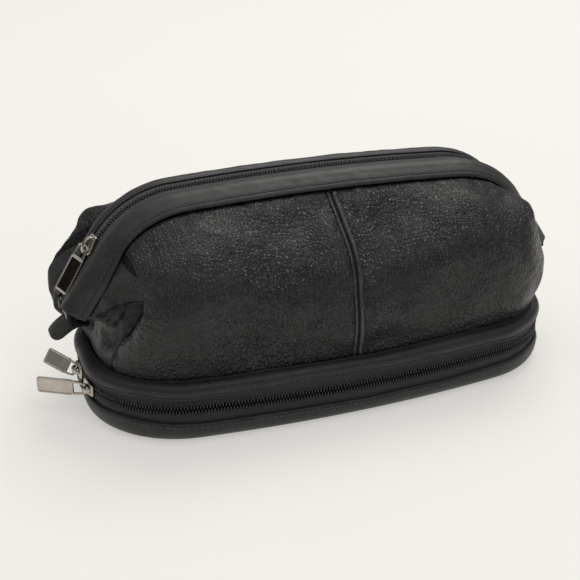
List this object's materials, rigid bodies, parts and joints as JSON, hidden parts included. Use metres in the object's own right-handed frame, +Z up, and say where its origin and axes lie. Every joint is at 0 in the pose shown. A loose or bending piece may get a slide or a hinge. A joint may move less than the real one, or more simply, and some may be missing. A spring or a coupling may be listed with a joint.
{
  "type": "framed shaving kit bag",
  "caption": "Soft leather toiletry bag with an arched zip frame that opens like a doctor's bag, on a shallow zip-round base tray.",
  "frame": {"origin": "on the floor, under the middle of the base", "axes": "+X along the bag's length to the right, +Y from front to back, +Z up"},
  "size_m": [0.2995, 0.134, 0.1183],
  "materials": {
    "smooth_leather": "satin",
    "grain_leather": "pebbled",
    "zip_tape": "woven",
    "zip_teeth": "satin",
    "lining": "woven",
    "stiffener": "matte",
    "frame_steel": "satin",
    "nickel": "polished"
  },
  "bodies": {
    "tray": {"bottom_panel": "smooth_leather", "bottom_board": "stiffener", "tray_band": "smooth_leather", "tray_lining": "lining", "tray_zip_tape": "zip_tape", "tray_zip_teeth": "zip_teeth", "hinge_strip": "smooth_leather"},
    "main_bag": {"ring_band": "smooth_leather", "ring_zip_tape": "zip_tape", "ring_zip_teeth": "zip_teeth", "floor_board": "stiffener", "floor_lining": "lining", "front_panel_left": "grain_leather", "front_panel_right": "grain_leather", "back_panel_left": "grain_leather", "back_panel_right": "grain_leather", "front_centre_seam": "grain_leather", "back_centre_seam": "grain_leather", "front_lining": "lining", "back_lining": "lining", "pivot_pin_left": "frame_steel", "pivot_pin_right": "frame_steel", "end_tab_left": "smooth_leather", "end_tab_right": "smooth_leather"},
    "front_frame": {"front_frame_bar": "frame_steel", "front_binding": "smooth_leather", "front_top_tape": "zip_tape", "front_top_teeth": "zip_teeth"},
    "back_frame": {"back_frame_bar": "frame_steel", "back_binding": "smooth_leather", "back_top_tape": "zip_tape", "back_top_teeth": "zip_teeth"},
    "top_slider": {"top_slider": "nickel"},
    "top_pull": {"top_pull": "nickel"},
    "front_base_slider": {"front_base_slider": "nickel"},
    "front_base_pull": {"front_base_pull": "nickel"},
    "rear_base_slider": {"rear_base_slider": "nickel"},
    "rear_base_pull": {"rear_base_pull": "nickel"}
  },
  "joints": [
    {"name": "base_hinge", "type": "hinge", "parent": "tray", "child": "main_bag", "pos_m": [0, 0.0648, 0.0189], "axis": [-1, 0, 0], "range_deg": [0, 95], "deforming": ["hinge_strip"]},
    {"name": "front_frame_hinge", "type": "hinge", "parent": "main_bag", "child": "front_frame", "pos_m": [0, 0, 0.06], "axis": [1, 0, 0], "range_deg": [0, 40], "deforming": ["front_panel_left", "front_panel_right", "front_centre_seam", "front_lining"]},
    {"name": "back_frame_hinge", "type": "hinge", "parent": "main_bag", "child": "back_frame", "pos_m": [0, 0, 0.06], "axis": [-1, 0, 0], "range_deg": [0, 40], "deforming": ["back_panel_left", "back_panel_right", "back_centre_seam", "back_lining"]},
    {"name": "top_slider_travel", "type": "hinge", "parent": "front_frame", "child": "top_slider", "pos_m": [-0.07466, 0, 0.06102], "axis": [0, 1, 0], "range_deg": [0, 49]},
    {"name": "top_pull_hinge", "type": "hinge", "parent": "top_slider", "child": "top_pull", "pos_m": [-0.12419, 0, 0.09102], "axis": [0, 1, 0], "range_deg": [0, 130]},
    {"name": "front_base_slider_travel", "type": "hinge", "parent": "main_bag", "child": "front_base_slider", "pos_m": [-0.079, -0.008, 0.0189], "axis": [0, 0, 1], "range_deg": [0, 66]},
    {"name": "front_base_pull_hinge", "type": "hinge", "parent": "front_base_slider", "child": "front_base_pull", "pos_m": [-0.13408, -0.01811, 0.0189], "axis": [0, 0, 1], "range_deg": [-10, 119]},
    {"name": "rear_base_slider_travel", "type": "hinge", "parent": "main_bag", "child": "rear_base_slider", "pos_m": [-0.079, 0.008, 0.0189], "axis": [0, 0, -1], "range_deg": [0, 36]},
    {"name": "rear_base_pull_hinge", "type": "hinge", "parent": "rear_base_slider", "child": "rear_base_pull", "pos_m": [-0.13486, 0.00409, 0.0189], "axis": [0, 0, -1], "range_deg": [-49, 12]}
  ]
}
